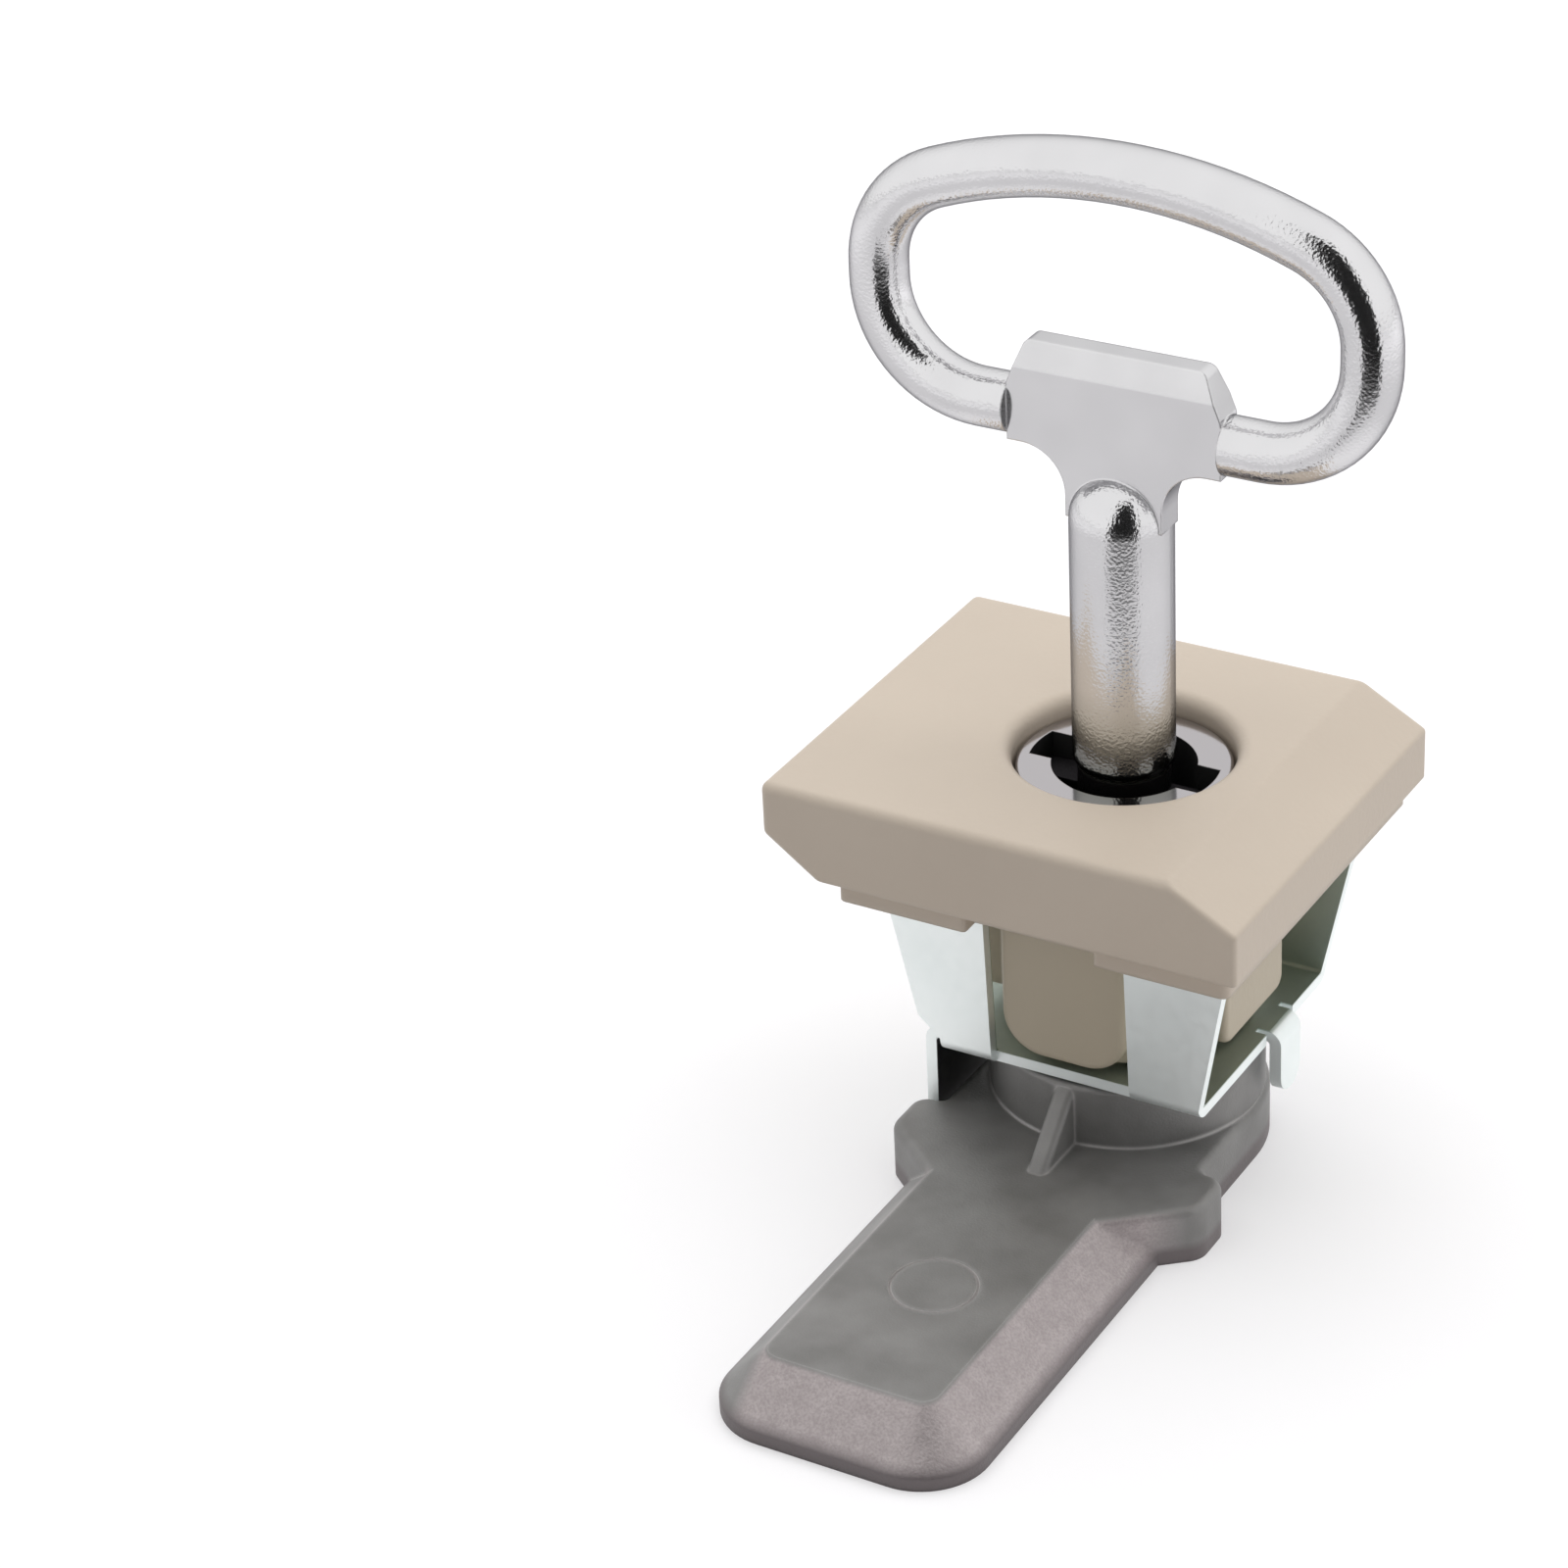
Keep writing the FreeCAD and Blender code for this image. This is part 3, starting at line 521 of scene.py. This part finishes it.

# %% [markdown]
# ## Raw die-cast zinc
# The cam comes straight from the die. Its flat panel and hub are smooth and dull grey, marked by faint flow
# clouds, and their edges are painted lighter, partly as rubbed wear and partly as a painted highlight. The
# arm's bevels were roughened in the die, so they look warmer and lighter, with small dark pits; on the far
# side the bevels keep the darker panel colour as painted shade. The cam's lowest border is darkest of all.

# %% Cast the cam
PANEL_LOW = (0.21, 0.206, 0.200)
PANEL_HIGH = (0.285, 0.280, 0.274)
CAST_WORN_AND_HIGHLIT_EDGE = (0.60, 0.58, 0.57)
BEVEL_LOW = (0.38, 0.336, 0.336)
BEVEL_HIGH = (0.48, 0.430, 0.430)
BEVEL_PIT = (0.27, 0.235, 0.235)
BORDER = (0.170, 0.148, 0.150)
PANEL_TOP = -24.7 * MM
BORDER_TOP = -29.0 * MM
BELOW_PANEL_RANGE = (PANEL_TOP - 0.05 * MM, PANEL_TOP - 0.3 * MM)
ABOVE_BORDER_RANGE = (BORDER_TOP - 0.1 * MM, BORDER_TOP + 0.8 * MM)
ARM_RANGE = (-18.5 * MM, -21 * MM)
LIT_SIDE_RANGE = (-10 * MM, -8.5 * MM)
CAST_SCALES = (4.0, 0.16)
PIT_SCALES = (0.7, 0.3)
PIT_STRENGTH = 0.28
CAST_ROUGHNESS = (0.48, 0.42)
CAST_METALLIC = 0.4
CAST_DEPTH = 0.035 * MM
CAST_RIM = 0.7 * MM

cam_raw_zinc, tree, shader = new_material("cam_raw_zinc")
cast = grained(tree, *CAST_SCALES)
pits = grained(tree, *PIT_SCALES)
rim = edged(tree, CAST_RIM)
place = object_place(tree)
below = remapped(tree, place["Z"], *BELOW_PANEL_RANGE)
out_on_arm = remapped(tree, place["Y"], *ARM_RANGE)
# Painted shade: on the far (-X) side the bevels keep the darker panel colour.
lit_side = remapped(tree, place["X"], *LIT_SIDE_RANGE)
above_border = remapped(tree, place["Z"], *ABOVE_BORDER_RANGE)
sloping = product(tree, below, lit_side, out_on_arm)
panel = colour_mix(tree, cast["Blotch"], PANEL_LOW, PANEL_HIGH)
# Painted highlight, partly rubbed wear: the panel's edges are painted lighter.
worn_and_highlit_edges = colour_mix(tree, rim["Edge"], panel, CAST_WORN_AND_HIGHLIT_EDGE)
grainy = colour_mix(tree, cast["Speckle"], BEVEL_LOW, BEVEL_HIGH)
bevel = colour_mix(tree, product(tree, pits["Speckle"], PIT_STRENGTH), grainy, BEVEL_PIT)
upper = colour_mix(tree, sloping, worn_and_highlit_edges, bevel)
colour = colour_mix(tree, above_border, BORDER, upper)
coat(tree, shader, colour, value_mix(tree, sloping, *CAST_ROUGHNESS), CAST_METALLIC)
bumped(tree, shader, cast["Height"], CAST_DEPTH, rim["Normal"])
dress(cam_raw_zinc, "cam")

# %% [markdown]
# ## Bright zinc plate
# The clip is stamped from a plated strip. Zinc is a bluish mirror, softened by crystals too small to see
# one by one, so its reflection is clear along an edge and cloudy inside. The inner faces of its legs look
# into the clip and not into the white room, so they are painted darker as painted shade, and the long stop
# tab's inner face is painted near black as painted shade. The washer and the screw under the cam match the
# clip.

# %% Plate the clip
ZINC_LOW = (0.90, 0.95, 0.94)
ZINC_HIGH = (0.95, 0.99, 0.98)
INSIDE_PAINTED_SHADE = (0.46, 0.53, 0.48)
TAB_PAINTED_SHADE = (0.10, 0.10, 0.10)
CLIP_FOOT = -18.0 * MM
LEG_RISE = 16.5 * MM
LEG_SPREAD = 1 * MM
LEG_INSIDE_Y = 12.8 * MM
TAB_INSIDE_X = -14.31 * MM
INSIDE_RANGE = (LEG_INSIDE_Y + 0.15 * MM, LEG_INSIDE_Y + 0.05 * MM)
ABOVE_WEB_RANGE = (CLIP_FOOT + 1.0 * MM, CLIP_FOOT + 1.15 * MM)
BELOW_WEB_RANGE = (CLIP_FOOT, CLIP_FOOT - 0.4 * MM)
IN_FROM_TAB_RANGE = (TAB_INSIDE_X - 0.1 * MM, TAB_INSIDE_X - 0.02 * MM)
TAB_SIDE_RANGE = (1 * MM, -1 * MM)
ZINC_SCALES = (1.2, 0.12)
ZINC_ROUGHNESS = (0.48, 0.54)
ZINC_DEPTH = 0.003 * MM

clip_zinc_plate, tree, shader = new_material("clip_zinc_plate")
crystals = grained(tree, *ZINC_SCALES)
place = object_place(tree)
far_out = calculated(tree, "ABSOLUTE", place["Y"])
leaning = remapped(tree, place["Z"], CLIP_FOOT, CLIP_FOOT + LEG_RISE, 0, LEG_SPREAD)
upright = calculated(tree, "SUBTRACT", far_out, leaning)
inside = remapped(tree, upright, *INSIDE_RANGE)
above_web = remapped(tree, place["Z"], *ABOVE_WEB_RANGE)
in_from_tab = remapped(tree, place["X"], *IN_FROM_TAB_RANGE)
tab_side = remapped(tree, place["X"], *TAB_SIDE_RANGE)
below_web = remapped(tree, place["Z"], *BELOW_WEB_RANGE)
plate = colour_mix(tree, crystals["Blotch"], ZINC_LOW, ZINC_HIGH)
# Painted shade: the legs' inner faces are darker, and the stop tab's inner face is near black.
shaded_leg_insides = colour_mix(tree, product(tree, inside, above_web), plate, INSIDE_PAINTED_SHADE)
colour = colour_mix(tree, product(tree, in_from_tab, tab_side, below_web), shaded_leg_insides, TAB_PAINTED_SHADE)
coat(tree, shader, colour, value_mix(tree, crystals["Speckle"], *ZINC_ROUGHNESS), METAL)
bumped(tree, shader, crystals["Height"], ZINC_DEPTH)
dress(clip_zinc_plate, "spring_clip", "cam_washer", "cam_screw")

# %% [markdown]
# ## Satin chrome on a casting
# The key is cast, tumbled and chromed. The chrome follows the grain of the casting under it, so bright and
# dark reflections break up into fine speckle at their borders. That takes a little bump rather than
# roughness, and none on the flat web under the ring, which came smooth from the die. Towards the cover the
# chrome is painted darker and olive as painted shade, and the nose and the bits below the ring face are
# painted near black as painted shade in the keyhole. Specular Tint darkens the chrome where the eye only
# skims it, so that the ring's sides don't fade into the white room.

# %% Chrome the key
KEY_LOW = (0.74, 0.735, 0.745)
KEY_HIGH = (0.785, 0.78, 0.79)
KEY_PAINTED_SHADE = (0.35, 0.365, 0.325)
KEY_NOSE_PAINTED_SHADE = (0.035, 0.033, 0.035)
KEY_SIDES = (0.30, 0.30, 0.31)
RING_FACE = 9.53 * MM
PAINTED_SHADE_FROM = 19 * MM
SUNK_RANGE = (RING_FACE + 0.4 * MM, RING_FACE - 0.1 * MM)
WEB_HALF_THICK = 1.65 * MM
WEB_HALF = 10.6 * MM
WEB_FADE = (0.12 * MM, 0.05 * MM)
WEB_RANGE = (34.0 * MM, 34.5 * MM)
KEY_SCALES = (3.6, 0.2)
KEY_DETAIL = 0.8
KEY_ROUGHNESS = (0.15, 0.5)
KEY_DEPTH = 0.036 * MM
KEY_RIM = 0.25 * MM
WEB_LEVEL = 0.5


def within(tree, value, half):
    """A mask that is 1 where a length lies between minus and plus half, with soft borders."""
    outer, inner = WEB_FADE
    return remapped(tree, calculated(tree, "ABSOLUTE", value), half + outer, half + inner)


key_satin_chrome, tree, shader = new_material("key_satin_chrome")
tumbled = grained(tree, *KEY_SCALES, KEY_DETAIL)
rim = edged(tree, KEY_RIM)
place = object_place(tree)
sunk = remapped(tree, place["Z"], *SUNK_RANGE)
# Painted shade: the chrome goes darker and olive towards the cover.
painted_shade_near_cover = remapped(tree, place["Z"], PAINTED_SHADE_FROM, RING_FACE)
plating = colour_mix(tree, tumbled["Blotch"], KEY_LOW, KEY_HIGH)
shaded_plating = colour_mix(tree, painted_shade_near_cover, plating, KEY_PAINTED_SHADE)
# Painted shade: the nose and the bits below the ring face go near black.
colour = colour_mix(tree, sunk, shaded_plating, KEY_NOSE_PAINTED_SHADE)
coat(tree, shader, colour, value_mix(tree, sunk, *KEY_ROUGHNESS), METAL)
put(tree, KEY_SIDES, shader.inputs["Specular Tint"])
thin_enough = within(tree, place["Y"], WEB_HALF_THICK)
narrow_enough = within(tree, place["X"], WEB_HALF)
high_enough = remapped(tree, place["Z"], *WEB_RANGE)
on_web = product(tree, thin_enough, narrow_enough, high_enough)
bumped(tree, shader, value_mix(tree, on_web, tumbled["Height"], WEB_LEVEL), KEY_DEPTH, rim["Normal"])
dress(key_satin_chrome, "key")

# %% [markdown]
# ## Polished chrome and the dark keyhole
# The spindle's face is turned and chromed to a mirror. Inside the keyhole the walls are painted near black
# and dull as painted shade, and a mask on depth and distance from the axis tells them apart.

# %% Chrome the spindle
CHROME = (0.47, 0.45, 0.46)
KEYHOLE_PAINTED_SHADE = (0.006, 0.006, 0.006)
KEYHOLE_RADIUS = 9.1 * MM
DEEP_RANGE = (RING_FACE - 0.02 * MM, RING_FACE - 0.1 * MM)
KEYHOLE_RANGE = (KEYHOLE_RADIUS + 0.05 * MM, KEYHOLE_RADIUS)
TURNED_SCALES = (5.0, 0.3)
CHROME_ROUGHNESS = (0.10, 0.7)
CHROME_METALLIC = (METAL, NO_METAL)
TURNED_DEPTH = 0.002 * MM
TURNED_RIM = 0.15 * MM

spindle_chrome, tree, shader = new_material("spindle_chrome")
turned = grained(tree, *TURNED_SCALES)
rim = edged(tree, TURNED_RIM)
place = object_place(tree)
# Painted shade: the keyhole's walls below the face go near black.
deep = remapped(tree, place["Z"], *DEEP_RANGE)
near_axis = remapped(tree, place["Radius"], *KEYHOLE_RANGE)
keyhole = product(tree, deep, near_axis)
colour = colour_mix(tree, keyhole, CHROME, KEYHOLE_PAINTED_SHADE)
roughness = value_mix(tree, keyhole, *CHROME_ROUGHNESS)
coat(tree, shader, colour, roughness, value_mix(tree, keyhole, *CHROME_METALLIC))
bumped(tree, shader, turned["Height"], TURNED_DEPTH, rim["Normal"])
dress(spindle_chrome, "spindle")

# %% [markdown]
# ## The small parts
# The pin is bright turned steel. The retaining ring and the spring washer are dark phosphated spring steel.
# The seals are black rubber with a dusty bloom, and the thrust washer is plain white plastic.

# %% Finish the small parts
SMALL_BLOTCH = 0.25
SMALL_RIM = 0.1 * MM
SMALL = {
    "pin_steel": {
        "low": (0.62, 0.62, 0.63), "high": (0.78, 0.78, 0.79), "rough": (0.16, 0.26), "metal": 1.0,
        "fine": 4.0, "depth": 0.006 * MM, "nodes": ("centre_pin",),
    },
    "spring_steel": {
        "low": (0.06, 0.06, 0.065), "high": (0.14, 0.14, 0.15), "rough": (0.38, 0.5), "metal": 0.9,
        "fine": 4.0, "depth": 0.01 * MM, "nodes": ("retaining_ring", "spring_washer"),
    },
    "seal_rubber": {
        "low": (0.012, 0.012, 0.012), "high": (0.03, 0.03, 0.031), "rough": (0.62, 0.8), "metal": 0.0,
        "fine": 3.0, "depth": 0.02 * MM, "nodes": ("door_seal", "spindle_o_ring"),
    },
    "washer_plastic": {
        "low": (0.66, 0.65, 0.61), "high": (0.74, 0.73, 0.69), "rough": (0.4, 0.5), "metal": 0.0,
        "fine": 2.0, "depth": 0.01 * MM, "nodes": ("thrust_washer",),
    },
}

for name, facts in SMALL.items():
    finish, tree, shader = new_material(name)
    surface = grained(tree, facts["fine"], SMALL_BLOTCH)
    rim = edged(tree, SMALL_RIM)
    colour = colour_mix(tree, surface["Blotch"], facts["low"], facts["high"])
    coat(tree, shader, colour, value_mix(tree, surface["Speckle"], *facts["rough"]), facts["metal"])
    bumped(tree, shader, surface["Height"], facts["depth"], rim["Normal"])
    dress(finish, *facts["nodes"])
